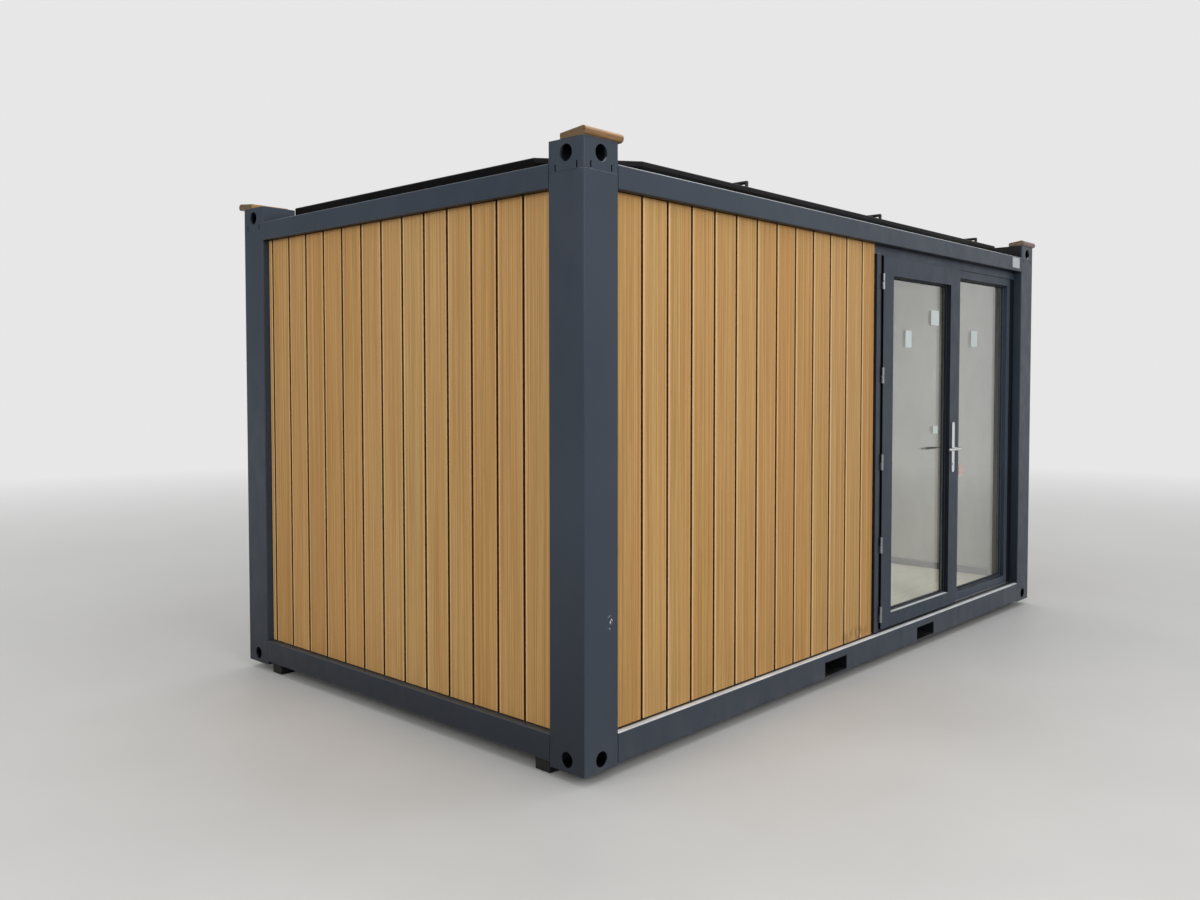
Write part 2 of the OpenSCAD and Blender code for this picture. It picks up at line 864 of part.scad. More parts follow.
in_place() {
    corner_post_front_left();
    corner_post_front_right();
    corner_post_back_left();
    corner_post_back_right();
    corner_block_front_left();
    corner_block_front_right();
    corner_block_back_left();
    corner_block_back_right();
    front_bottom_rail();
    back_bottom_rail();
    left_bottom_rail();
    right_bottom_rail();
    front_top_rail();
    back_top_rail();
    left_top_rail();
    right_top_rail();
    fork_pockets();
    floor_joists();
    floor_deck();
    floor_covering();
    support_feet();
    front_wall();
    back_wall();
    left_wall();
    right_wall();
    wall_over_door();
    front_cladding();
    back_cladding();
    left_cladding();
    right_cladding();
    ceiling();
    roof_panel();
    roof_deck();
    roof_loops();
    corner_pads();
    door_left_jamb();
    door_mullion();
    door_right_jamb();
    door_head();
    door_sill();
    door_stops();
    fixed_sash();
    fixed_glass();
    hinge_pins();
    door_leaf();
    door_glass();
    hinge_knuckles();
    handle_plates();
    lever_handles();
}
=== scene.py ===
"""Looks of the portable office cabin: boards, paint, glazing, fittings and the studio."""
import math
import random

import bmesh
import bpy
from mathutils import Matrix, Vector


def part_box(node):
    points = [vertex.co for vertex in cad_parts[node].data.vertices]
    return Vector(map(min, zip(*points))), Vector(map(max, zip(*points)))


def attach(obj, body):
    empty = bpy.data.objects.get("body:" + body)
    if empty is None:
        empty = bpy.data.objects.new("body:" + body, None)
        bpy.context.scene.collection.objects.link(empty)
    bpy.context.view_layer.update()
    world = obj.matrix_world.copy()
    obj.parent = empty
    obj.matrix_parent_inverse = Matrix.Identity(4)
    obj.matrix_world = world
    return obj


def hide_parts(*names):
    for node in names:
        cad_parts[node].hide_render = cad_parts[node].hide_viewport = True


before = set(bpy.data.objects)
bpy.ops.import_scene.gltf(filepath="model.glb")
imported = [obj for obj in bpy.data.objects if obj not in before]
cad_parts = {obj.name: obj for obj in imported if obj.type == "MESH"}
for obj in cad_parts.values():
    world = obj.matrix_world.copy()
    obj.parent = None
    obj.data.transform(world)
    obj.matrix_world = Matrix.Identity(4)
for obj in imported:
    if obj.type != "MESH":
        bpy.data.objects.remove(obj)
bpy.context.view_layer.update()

# The camera: its place in metres from the near post's foot, turn and dip in degrees, lens and sensor in
# millimetres, and shift as a share of the picture's width.
CAMERA_PLACE = (-2.9711, -2.8823, 1.6164)
CAMERA_TURN = 47.744
CAMERA_DIP = 2.106
CAMERA_LENS = 30.924
CAMERA_SENSOR = 36.0
CAMERA_SHIFT = (-0.01487, -0.02561)

# Boards, in metres. The middles of the joints lie a pitch apart, from the first board on.
FIRST_BOARD = 0.187
BOARD_PITCH = 0.173
BOARD_GAP = 0.015
BOARD_DEPTH = 0.012
BOARD_PLAY = 0.0006

# The boards' eased edges: how far each reaches over the face and how far it drops. The painted highlight on
# an edge runs on over the face for a little way. The plain edge takes a share of it.
PLAIN_EDGE = (0.003, 0.0024)
HIGHLIGHT_EDGE = (0.0055, 0.0026)
HIGHLIGHT_FACE = 0.008
HIGHLIGHT_SHARE = 0.75
PLAIN_HIGHLIGHT_SHARE = 0.5

# The sheet behind the boards is this much taller than they are. It and the walls of the joints take the
# second material of their piece.
SHEET_EXTRA = 0.003
GROOVE_INDEX = 1

# Each board draws its own tone, from 0 to 1, which changes its hue, saturation and value and shifts its
# grain along x and z.
BOARD_SEED = 41
TONE_HUE = (0.4975, 0.5025)
TONE_SATURATION = (1.02, 0.97)
TONE_VALUE = (0.97, 1.025)
TONE_SHIFT = (61.0, 37.0)

# Glazing, in metres: how far the glass runs behind its beads, the panes, spacer bars and rubber lines.
# The spacer bars take the second material of their piece.
GLASS_LAP = 0.014
PANE_T = 0.004
SPACER_IN = 0.004
SPACER_W = 0.012
GASKET_W = 0.005
GASKET_T = 0.003
SPACER_INDEX = 1

# Painted shade in the gap beside the hinges: how far it runs on over the left jamb, and its slack at both
# ends.
GAP_SHADE_FACE = 0.012
GAP_SHADE_LAP = 0.0006

# Blank tags stuck on the glass: pane, centre x, centre z, width, height and kind.
TAG_T = 0.0004
TAG_ROUND = 0.004
TAGS = [
    ("door_glass", 0.524, 1.918, 0.080, 0.104, "paper"),
    ("door_glass", 0.886, 2.063, 0.108, 0.096, "paper"),
    ("door_glass", 0.907, 1.347, 0.070, 0.050, "paper"),
    ("fixed_glass", 1.575, 1.951, 0.100, 0.110, "paper"),
    ("fixed_glass", 1.388, 1.057, 0.070, 0.066, "faded_paper"),
]

# Share of the roof deck's height that is the black lower strip, painted shade, on the long sides and on the
# ends.
ROOF_SHADE_SPLIT = (0.66, 0.90)

# Casings of the corner posts inside the room.
CASING_T = 0.010

# Skirting boards at the foot of the room's walls: thickness and height, and the round of their top edge.
SKIRTING_SIZE = (0.012, 0.050)
SKIRTING_ROUND = 0.005

# Panels of the room's walls and ceiling: the pitch of their joints, the joints' widths and depth, and the
# share of a width that is full.
PANEL_PITCH = 1.15
WALL_JOINT = 0.004
CEILING_JOINT = 0.005
JOINT_DEPTH = 0.001
JOINT_CORE = 0.4

# Planks of the room's floor: length and width, the joint and its depth, and each second row's shift as a
# share of a plank.
PLANK_SIZE = (1.22, 0.185)
PLANK_JOINT = 0.0016
PLANK_JOINT_DEPTH = 0.0008
PLANK_STAGGER = 0.37

# The bare plate at the right end of the front top rail: centre, rise above the rail's middle, and size.
PLATE_X = 2.057
PLATE_RISE = 0.006
PLATE_SIZE = (0.125, 0.072, 0.002)

# Where along x the stained pads turn from tan to dark, and the share of dull end grain on their ends.
PAD_CHANGE = (-1.4, 1.4)
PAD_END_SHARE = 0.75

# Marks that the photograph shows, in x and z: chips on the near post, a stain at the front boards' foot.
# A mark is full in its core and fades out to its reach.
CHIP_PLACE = (-2.239, 0.659)
CHIP_REACH = (0.022, 0.038)
CHIP_DEPTH = 0.0003
STAIN_PLACE = (-0.142, 0.215)
STAIN_REACH = (0.19, 0.06)
MARK_CORE = 0.1

# Dirt and painted shade in the paint, and dirt on the boards. Between two heights, in metres, a share of the
# colour changes.
TOP_SHADE_HEIGHTS = (0.3, 1.5)
TOP_SHADE_SHARES = (0.9, 0.4)
SPLASH_HEIGHTS = (0.04, 0.22)
SPLASH_SHARE = 0.22
END_SHADE_HEIGHTS = (0.1, 1.1)
END_SHADE_SHARE = 0.6
UNDERSIDE_SHADE_SHARE = 0.95
BOARD_FOOT_HEIGHTS = (0.18, 0.5)
BOARD_FOOT_SHARE = 0.22

# Pale dust and a painted highlight lie on the front ledges: from a height up, and back to a depth behind the
# front, where a rest goes on. They are thinner on the top ledges.
LEDGE_FOOT = (0.13, 0.16)
LEDGE_DEPTH = (0.020, 0.030)
LEDGE_REST = 0.06
TOP_LEDGE_HEIGHTS = (1.9, 2.3)
TOP_LEDGE_SHARE = 0.62

# How far a face has to look along an axis, from -1 to 1. Between the two values of a pair a look fades in.
FLAT_TOP = (0.6, 0.95)
SLOPING_TOP = (0.2, 0.7)
ROOF_TOP = (0.1, 0.6)
UNDERSIDE = (-0.9, -0.5)
END_FACE = (0.7, 0.95)
SIDE_FACE = (0.7, 0.9)
LEFT_FACE = -0.9
DECK_EDGE_FACE = 0.5

# Rounded edges of the CAD nodes that stay, in metres.
FRAME_ROUND = 0.0024
DOOR_ROUND = 0.0022
UNDER_ROUND = 0.0015
SILL_ROUND = 0.0015
HINGE_ROUND = 0.0008
HANDLE_ROUND = 0.0025
PAD_ROUND = 0.004
FOOT_ROUND = 0.004
ROOF_ROUND = 0.006

# Meshes: points closer than this are one, and which edges are flat, smooth or rounded, in degrees.
WELD_REACH = 0.00002
FLAT_ANGLE = 1
SMOOTH_ANGLE = 35
ROUND_ANGLE = 40
ARC_STEPS = 3

# The studio: how far the floor reaches and over which distance it fades, in metres, and light levels.
FLOOR_REACH = 60.0
FLOOR_FADE = (3.5, 15.0)
LIGHT_LEVEL = 0.68
BACKGROUND = 0.8

# What shiny faces see on the left, as a share of the background, and over which stretch of x it turns dim.
DIM_SHARE = 0.2
DIM_STRETCH = (-0.5, 0.1)

# Lamps round the object: place, target, size and radiance.
LAMPS = {
    "ceiling_softbox": ((0.5, -1.0, 7.0), (0.0, 0.0, 1.0), (9.0, 7.0), 1.0),
    "front_softbox": ((-2.6, -8.5, 4.5), (-2.2, -1.3, 1.3), (5.0, 4.0), 3.9),
    "left_softbox": ((-9.0, 0.4, 4.5), (-2.4, -1.0, 1.3), (4.0, 4.0), 3.2),
}

# The lamp in the room, which faces down from a little below the ceiling.
ROOM_LAMP_PLACE = (0.8, -0.2)
ROOM_LAMP_DROP = 0.05
ROOM_LAMP_SIZE = (3.2, 1.6)
ROOM_LAMP_RADIANCE = 0.52
ROOM_LAMP_SPREAD = 90

# Colours, as sRGB from 0 to 255. A pair is a deep and a pale tone.
FRAME_TONES = ((52, 61, 73), (57, 66, 78))
DOOR_TONES = ((49, 58, 71), (54, 63, 76))
# A lighter copy of the door tones: painted light on the bars.
BAR_LIT_TONES = ((57, 66, 80), (62, 71, 85))
# Painted shade: the right jamb's near black.
JAMB_SHADE_TONES = ((18, 20, 26), (23, 25, 31))
UNDER_TONES = ((34, 38, 44), (44, 48, 54))
# Pale dust on the ledges, which also holds a painted highlight.
FRAME_DUST_AND_HIGHLIGHT = (226, 228, 230)
DOOR_DUST_AND_HIGHLIGHT = (222, 224, 226)
BAR_DUST_AND_HIGHLIGHT = (132, 140, 154)
UNDER_DUST_AND_HIGHLIGHT = (120, 116, 108)
# Painted shade, on faces that look up and on faces that look left.
SHADE_BLACK = (12, 13, 16)
# Painted shade on undersides.
UNDERSIDE_SHADE = (9, 10, 12)
SPLASH_GREY = (104, 102, 98)
# Painted shade low on the ends.
END_SHADE_BLACK = (14, 16, 21)
CHIP_GREY = (206, 208, 210)
# Painted shade in the gap beside the hinges.
GAP_SHADE_BLACK = (10, 11, 12)
BOARD_TONES = ((174, 131, 71), (203, 161, 96))
BOARD_RED = (198, 141, 82)
BOARD_DARK_BAND = (152, 109, 52)
BOARD_LIGHT_BAND = (218, 181, 118)
BOARD_PORE = (128, 90, 48)
# Painted highlight on the boards' eased edges.
BOARD_EDGE_HIGHLIGHT = (236, 203, 150)
BOARD_STAIN = (84, 62, 36)
BOARD_FOOT = (140, 104, 62)
GROOVE_TONES = ((90, 50, 10), (118, 70, 18))
PAD_TAN = ((134, 93, 46), (178, 134, 76))
PAD_DARK = ((74, 44, 32), (112, 68, 48))
PAD_RING = (88, 54, 30)
PAD_END = (98, 80, 56)
# Painted shade: the lower roof tones. The roof dust holds a painted highlight too.
ROOF_LOWER_SHADE = ((3, 3, 5), (7, 7, 10))
ROOF_UPPER = ((28, 28, 31), (38, 37, 38))
ROOF_DUST_AND_HIGHLIGHT = (92, 91, 90)
WALL_TONES = ((186, 181, 173), (197, 192, 184))
WALL_LINE = (150, 148, 143)
WALL_OUTER = (24, 22, 20)
CEILING_TONES = ((238, 237, 233), (245, 244, 241))
CEILING_LINE = (168, 166, 162)
PLANK_TONES = ((234, 226, 204), (243, 236, 216))
PLANK_LINE = (150, 138, 112)
PLANK_GRAIN = (172, 156, 126)
DECK_TONES = ((96, 72, 48), (150, 118, 82))
# Painted shade on the deck's edges.
DECK_EDGE_SHADE = (18, 18, 20)
HINGE_TONES = ((132, 135, 139), (166, 168, 172))
CHROME_TONES = ((206, 208, 211), (228, 229, 231))
LOOP_TONES = ((46, 46, 48), (70, 69, 68))
SPACER_TONES = ((128, 136, 132), (160, 168, 164))
GASKET_TONES = ((14, 15, 16), (26, 27, 28))
FOOT_TONES = ((22, 22, 23), (44, 43, 42))
GLASS_TONES = ((250, 252, 251), (253, 254, 254))
TAG_TONES = ((204, 216, 214), (214, 224, 222))
FADED_TONES = ((206, 176, 168), (222, 196, 188))
SKIRTING_TONES = ((104, 99, 92), (120, 115, 108))
PLATE_TONES = ((186, 190, 194), (204, 207, 210))
STUDIO_TONES = ((190, 190, 189), (198, 198, 197))
STUDIO_BOUNCE = (128, 127, 125)

rng = random.Random(BOARD_SEED)


# Material helpers

def linear(part):
    """One part of an sRGB colour, from 0 to 1, made linear."""
    return part / 12.92 if part <= 0.04045 else ((part + 0.055) / 1.055) ** 2.4


def rgba(colour):
    """An sRGB colour as the linear RGBA that nodes take. A socket stays as it is."""
    if isinstance(colour, bpy.types.NodeSocket):
        return colour
    return (*(linear(part / 255) for part in colour), 1.0)


def grey(level):
    """A linear grey, as RGBA."""
    return (level, level, level, 1.0)


class Graph:
    """Adds nodes to the tree of a material or of the world."""

    def __init__(self, tree):
        self.tree = tree

    def node(self, kind, inputs=None, **settings):
        """A new node of a kind, with its settings made and its inputs fed."""
        made = self.tree.nodes.new("ShaderNode" + kind)
        for key, value in settings.items():
            setattr(made, key, value)
        for key, value in (inputs or {}).items():
            self.feed(made.inputs[key], value)
        return made

    def feed(self, socket, value):
        """Links a socket to another one, or sets its value."""
        if isinstance(value, bpy.types.NodeSocket):
            self.tree.links.new(value, socket)
        else:
            socket.default_value = value

    def scale(self, value, low, high, start=0.35, stop=0.65):
        """The value's range start to stop, spread over low to high. Without them, a noise's usual range."""
        made = self.node("MapRange", {"Value": value, "From Min": start, "From Max": stop,
                                      "To Min": low, "To Max": high})
        return made.outputs["Result"]

    def rise(self, value, start, stop):
        """0 up to the start, 1 from the stop on."""
        return self.scale(value, 0.0, 1.0, start, stop)

    def math(self, operation, first, second=0.0):
        """What an operation makes of one or two values."""
        return self.node("Math", {0: first, 1: second}, operation=operation).outputs[0]

    def times(self, first, second):
        """The product of two values."""
        return self.math("MULTIPLY", first, second)

    def seen_ray(self):
        """1 for rays that show the stage: from the camera, off shiny faces and through glass."""
        path = self.node("LightPath").outputs
        direct = self.math("MAXIMUM", path["Is Camera Ray"], path["Is Glossy Ray"])
        return self.math("MAXIMUM", direct, path["Is Transmission Ray"])


class Look(Graph):
    """A Principled material, built up from noise in the part's own coordinates."""

    def __init__(self, name, fixed=None):
        self.material = bpy.data.materials.new(name)
        self.material.use_nodes = True
        super().__init__(self.material.node_tree)
        self.shader = self.tree.nodes["Principled BSDF"]
        self.coords = self.node("TexCoord").outputs["Object"]
        self.normal = None
        for socket, value in (fixed or {}).items():
            self.shader.inputs[socket].default_value = value

    def noise(self, waves, detail=3.0, roughness=0.55, shift=None):
        """Soft noise with so many waves a metre along x, y and z."""
        inputs = {"Vector": self.coords, "Scale": waves}
        if shift is not None:
            inputs["Location"] = shift
        place = self.node("Mapping", inputs)
        made = self.node("TexNoise", {"Vector": place.outputs["Vector"], "Scale": 1.0,
                                      "Detail": detail, "Roughness": roughness})
        return made.outputs["Fac"]

    def mix(self, share, first, second):
        """The first colour, with a share of the second in it."""
        made = self.node("Mix", {0: share, 6: rgba(first), 7: rgba(second)}, data_type="RGBA")
        return made.outputs[2]

    def blend(self, noise, deep, pale):
        """A deep tone where a noise is low, and a pale one where it is high."""
        return self.mix(self.scale(noise, 0.0, 1.0), deep, pale)

    def attribute(self, name):
        """A value that is stored on the mesh."""
        return self.node("Attribute", attribute_name=name).outputs["Fac"]

    def axis(self, letter):
        """The place along an axis of the part at rest, in metres."""
        return self.node("SeparateXYZ", {0: self.coords}).outputs[letter]

    def facing(self, letter):
        """How far a face looks along an axis of the part at rest, from -1 to 1."""
        normal = self.node("TexCoord").outputs["Normal"]
        return self.node("SeparateXYZ", {0: normal}).outputs[letter]

    def facing_either(self, letter):
        """How far a face looks along an axis in either direction, from 0 to 1."""
        return self.math("ABSOLUTE", self.facing(letter))

    def upward(self, start, stop):
        """How far a face looks up, from 0 to 1."""
        return self.rise(self.facing("Z"), start, stop)

    def spot(self, place, reach):
        """1 at a place on the front, falling to 0 at its reach along x and z."""
        across = self.math("DIVIDE", self.math("SUBTRACT", self.axis("X"), place[0]), reach[0])
        up = self.math("DIVIDE", self.math("SUBTRACT", self.axis("Z"), place[1]), reach[1])
        away = self.math("ADD", self.times(across, across), self.times(up, up))
        on_front = self.math("LESS_THAN", self.axis("Y"), 0.0)
        return self.times(on_front, self.scale(away, 1.0, 0.0, MARK_CORE, 1.0))

    def line(self, letter, pitch, width):
        """1 on thin lines a pitch apart along an axis."""
        turns = self.math("DIVIDE", self.axis(letter), pitch)
        part = self.math("ABSOLUTE", self.math("SUBTRACT", self.math("FRACT", turns), 0.5))
        return self.rise(part, 0.5 - width / pitch, 0.5 - JOINT_CORE * width / pitch)

    def colour(self, value):
        """Sets the material's colour."""
        self.feed(self.shader.inputs["Base Color"], value)

    def rough(self, noise, low, high, **ends):
        """Roughness that follows a noise."""
        self.feed(self.shader.inputs["Roughness"], self.scale(noise, low, high, **ends))

    def bump(self, height, depth):
        """Adds bumps of a depth in metres to those that are there already."""
        inputs = {"Height": height, "Distance": depth, "Strength": 1.0}
        if self.normal is not None:
            inputs["Normal"] = self.normal
        self.normal = self.node("Bump", inputs).outputs["Normal"]
        self.feed(self.shader.inputs["Normal"], self.normal)

    def surface(self, share, other):
        """A share of another shader in place of the material's own."""
        both = self.node("MixShader", {0: share, 1: self.shader.outputs[0], 2: other.outputs[0]})
        self.feed(self.tree.nodes["Material Output"].inputs["Surface"], both.outputs[0])


# Paint

def paint_ledges(look, colour, dust_and_highlight, front):
    """Painted shade on faces that look up, pale dust and a painted highlight on the ledges of a front, and
    painted shade on undersides.
    """
    height = look.axis("Z")
    # Painted shade on faces that look up, deeper low down.
    top_shade = look.times(look.upward(*FLAT_TOP), look.scale(height, *TOP_SHADE_SHARES, *TOP_SHADE_HEIGHTS))
    colour = look.mix(top_shade, colour, SHADE_BLACK)
    # Pale dust and a painted highlight on the front ledges.
    depths = [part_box(front)[0].y + depth for depth in LEDGE_DEPTH]
    ledge = look.times(look.rise(height, *LEDGE_FOOT), look.scale(look.axis("Y"), 1.0, LEDGE_REST, *depths))
    ledge = look.times(ledge, look.scale(height, 1.0, TOP_LEDGE_SHARE, *TOP_LEDGE_HEIGHTS))
    patches = look.scale(look.noise(waves=(5.0, 5.0, 5.0), detail=5.0), low=0.75, high=1.0)
    patchy_tops = look.times(patches, look.upward(*SLOPING_TOP))
    colour = look.mix(look.times(patchy_tops, ledge), colour, dust_and_highlight)
    # Painted shade on faces that look down.
    under_shade = look.scale(look.facing("Z"), UNDERSIDE_SHADE_SHARE, 0.0, *UNDERSIDE)
    return look.mix(under_shade, colour, UNDERSIDE_SHADE)


def paint_foot(look, colour):
    """Splashes near the ground on the long sides, and painted shade low on the ends."""
    height = look.axis("Z")
    ends = look.rise(look.facing_either("X"), *END_FACE)
    drops = look.rise(look.noise(waves=(9.0, 9.0, 4.0), detail=5.0), start=0.4, stop=0.7)
    splash = look.times(look.scale(height, SPLASH_SHARE, 0.0, *SPLASH_HEIGHTS), drops)
    splash = look.times(splash, look.math("SUBTRACT", 1.0, ends))
    colour = look.mix(splash, colour, SPLASH_GREY)
    # Painted shade on the ends, darker towards the ground.
    end_shade = look.times(ends, look.scale(height, END_SHADE_SHARE, 0.0, *END_SHADE_HEIGHTS))
    return look.mix(end_shade, colour, END_SHADE_BLACK)


def paint_chips(look, colour):
    """Chipped paint at one place on the near post."""
    flecks = look.noise(waves=(85.0, 85.0, 60.0), detail=4.0, roughness=0.65)
    chips = look.times(look.rise(flecks, start=0.58, stop=0.61), look.spot(CHIP_PLACE, CHIP_REACH))
    look.bump(look.times(chips, -1.0), CHIP_DEPTH)
    return look.mix(chips, colour, CHIP_GREY)


def paint_gap_shade(look, colour, gap_shade):
    """Painted shade: black between two places along x."""
    across = look.axis("X")
    inside = look.times(look.math("GREATER_THAN", across, gap_shade[0] - GAP_SHADE_LAP),
                        look.math("LESS_THAN", across, gap_shade[1] + GAP_SHADE_LAP))
    return look.mix(inside, colour, GAP_SHADE_BLACK)


def paint_left_shade(look, colour, share):
    """Painted shade on faces that look left."""
    left = look.math("LESS_THAN", look.facing("X"), LEFT_FACE)
    return look.mix(look.times(left, share), colour, SHADE_BLACK)


def painted_steel(name, tones, dust_and_highlight, chipped=False, gap_shade=None, shine=0.3, left_shade=0.0,
                  front="front_bottom_rail"):
    """Sprayed satin paint: mottled and dirty, with painted shade on tops, undersides and low on the ends, and
    dusty with a painted highlight on the ledges of the node that is named as its front.
    """
    look = Look(name, {"Specular IOR Level": shine})
    colour = look.blend(look.noise(waves=(1.6, 1.6, 1.1), detail=4.0), *tones)
    colour = paint_ledges(look, colour, dust_and_highlight, front)
    colour = paint_foot(look, colour)
    if chipped:
        colour = paint_chips(look, colour)
    if gap_shade:
        colour = paint_gap_shade(look, colour, gap_shade)
    if left_shade:
        colour = paint_left_shade(look, colour, left_shade)
    look.colour(colour)
    look.rough(look.noise(waves=(11.0, 11.0, 7.0), detail=4.0), low=0.34, high=0.47)
    look.bump(look.noise(waves=(420.0, 420.0, 420.0), detail=2.0), depth=0.00006)
    return look.material


# Wood

def board_marks(look, colour):
    """A stain near the door, and dirt at the foot of the boards."""
    blots = look.noise(waves=(26.0, 26.0, 14.0), detail=4.0)
    blots = look.scale(blots, low=0.0, high=0.6, start=0.42, stop=0.62)
    colour = look.mix(look.times(look.spot(STAIN_PLACE, STAIN_REACH), blots), colour, BOARD_STAIN)
    dirt = look.scale(look.noise(waves=(14.0, 14.0, 3.0), detail=4.0), low=0.0, high=1.0)
    foot = look.scale(look.axis("Z"), BOARD_FOOT_SHARE, 0.0, *BOARD_FOOT_HEIGHTS)
    return look.mix(look.times(foot, dirt), colour, BOARD_FOOT)


def board_wood():
    """Oiled upright boards: straight fine grain, each board with its own tone."""
    look = Look("board_wood", {"Specular IOR Level": 0.35})
    tone = look.attribute("tone")
    across, up = (look.times(tone, shift) for shift in TONE_SHIFT)
    shift = look.node("CombineXYZ", {"X": across, "Z": up}).outputs[0]
    streaks = look.noise(waves=(22.0, 22.0, 0.3), detail=3.0, roughness=0.6, shift=shift)
    bands = look.noise(waves=(120.0, 120.0, 0.55), detail=2.0, roughness=0.6, shift=shift)
    grain = look.noise(waves=(230.0, 230.0, 1.9), detail=4.0, roughness=0.6, shift=shift)
    pores = look.noise(waves=(760.0, 760.0, 11.0), detail=3.0, roughness=0.6, shift=shift)
    colour = look.mix(look.rise(grain, start=0.33, stop=0.67), *BOARD_TONES)
    colour = look.mix(look.scale(streaks, low=0.0, high=0.5), colour, BOARD_RED)
    colour = look.mix(look.scale(bands, low=0.0, high=0.5, start=0.5, stop=0.7), colour, BOARD_DARK_BAND)
    colour = look.mix(look.scale(bands, low=0.45, high=0.0, start=0.3, stop=0.5), colour, BOARD_LIGHT_BAND)
    colour = look.mix(look.scale(pores, low=0.0, high=0.4, start=0.56, stop=0.72), colour, BOARD_PORE)
    # Painted highlight on the boards' eased edges.
    colour = look.mix(look.times(look.attribute("edge"), HIGHLIGHT_SHARE), colour, BOARD_EDGE_HIGHLIGHT)
    colour = board_marks(look, colour)
    shade = look.node("HueSaturation", {"Hue": look.scale(tone, *TONE_HUE, start=0.0, stop=1.0),
                                        "Saturation": look.scale(tone, *TONE_SATURATION, start=0.0, stop=1.0),
                                        "Value": look.scale(tone, *TONE_VALUE, start=0.0, stop=1.0),
                                        "Color": colour})
    look.colour(shade.outputs["Color"])
    look.rough(grain, low=0.62, high=0.5)
    look.bump(grain, depth=0.0005)
    look.bump(pores, depth=0.0003)
    return look.material


def pad_wood():
    """Stained timber of the corner pads, tan at the left and dark at the right, with dull end grain."""
    look = Look("pad_wood", {"Coat Weight": 0.2, "Coat Roughness": 0.12})
    grain = look.noise(waves=(9.0, 190.0, 190.0), detail=4.0, roughness=0.6)
    rings = look.noise(waves=(1.2, 75.0, 75.0), detail=3.0)
    tan, dark = look.blend(grain, *PAD_TAN), look.blend(grain, *PAD_DARK)
    colour = look.mix(look.rise(look.axis("X"), *PAD_CHANGE), tan, dark)
    colour = look.mix(look.scale(rings, low=0.0, high=0.6, start=0.42, stop=0.6), colour, PAD_RING)
    end_grain = look.scale(look.facing_either("X"), 0.0, PAD_END_SHARE, *SIDE_FACE)
    look.colour(look.mix(end_grain, colour, PAD_END))
    look.rough(grain, low=0.34, high=0.22)
    look.bump(grain, depth=0.0004)
    return look.material


def deck_board():
    """Pressed board under the floor, with painted shade on its edges."""
    look = Look("deck_board")
    chips = look.noise(waves=(140.0, 140.0, 140.0), detail=3.0)
    # Painted shade on the edges.
    edge = look.math("LESS_THAN", look.facing_either("Z"), DECK_EDGE_FACE)
    look.colour(look.mix(edge, look.blend(chips, *DECK_TONES), DECK_EDGE_SHADE))
    look.rough(chips, low=0.7, high=0.85)
    look.bump(chips, depth=0.0006)
    return look.material


# Other materials

def mottled(name, tones, waves, rough, depth, detail=4.0, shine=0.5):
    """A plain material: one noise sets its tone, its roughness and its bumps."""
    look = Look(name, {"Specular IOR Level": shine})
    cloud = look.noise(waves, detail)
    look.colour(look.blend(cloud, *tones))
    look.rough(cloud, *rough)
    look.bump(cloud, depth)
    return look.material


def groove_wood():
    """The raw brown wood down in the joints between the boards."""
    return mottled("groove_wood", GROOVE_TONES, waves=(180.0, 180.0, 60.0), rough=(0.8, 0.95), depth=0.0004,
                   detail=3.0, shine=0.03)


def rubber(name, tones):
    """Dull dark rubber."""
    return mottled(name, tones, waves=(60.0, 60.0, 60.0), rough=(0.62, 0.85), depth=0.0003, shine=0.3)


def paper(name, tones):
    """Matt paper, or a thin matt coat."""
    return mottled(name, tones, waves=(220.0, 220.0, 220.0), rough=(0.6, 0.75), depth=0.00005)


def roof_skin():
    """Coated sheet, black low on its edge as painted shade and dark grey above, with dust dried into its top
    that is partly a painted highlight.
    """
    look = Look("roof_skin", {"Specular IOR Level": 0.08})
    pools = look.noise(waves=(1.1, 1.1, 1.1), detail=5.0, roughness=0.6)
    grit = look.noise(waves=(300.0, 300.0, 300.0), detail=2.0)
    low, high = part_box("roof_deck")
    share = look.rise(look.axis("Z"), low.z, high.z)
    # Painted shade: the black lower strip, more of it on the ends.
    split = look.scale(look.facing_either("X"), *ROOF_SHADE_SPLIT, *SIDE_FACE)
    upper = look.math("GREATER_THAN", share, split)
    colour = look.mix(upper, look.blend(grit, *ROOF_LOWER_SHADE), look.blend(pools, *ROOF_UPPER))
    # Dust on the tops, partly a painted highlight.
    dust_and_highlight = look.scale(pools, low=0.4, high=0.7, start=0.45, stop=0.7)
    look.colour(look.mix(look.times(dust_and_highlight, look.upward(*ROOF_TOP)), colour, ROOF_DUST_AND_HIGHLIGHT))
    look.rough(pools, low=0.5, high=0.72)
    look.bump(grit, depth=0.0004)
    return look.material


def wall_panel(name, letter, wall):
    """Wall panel: pale laminate on the room's side and black sheet on the outer side. They meet at the
    middle of the named wall, a distance that lies inside the opposite wall too."""
    look = Look(name)
    low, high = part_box(wall)
    axis = "XYZ".index(letter)
    middle = (low[axis] + high[axis]) / 2
    outer = look.math("GREATER_THAN", look.math("ABSOLUTE", look.axis(letter)), middle)
    cloud = look.noise(waves=(3.0, 3.0, 2.0), detail=4.0)
    joint = look.line("Y" if letter == "X" else "X", PANEL_PITCH, WALL_JOINT)
    inside = look.mix(joint, look.blend(cloud, *WALL_TONES), WALL_LINE)
    look.colour(look.mix(outer, inside, WALL_OUTER))
    look.rough(cloud, low=0.45, high=0.6)
    look.bump(look.times(joint, -1.0), JOINT_DEPTH)
    look.bump(look.noise(waves=(160.0, 160.0, 160.0), detail=3.0), depth=0.0001)
    return look.material


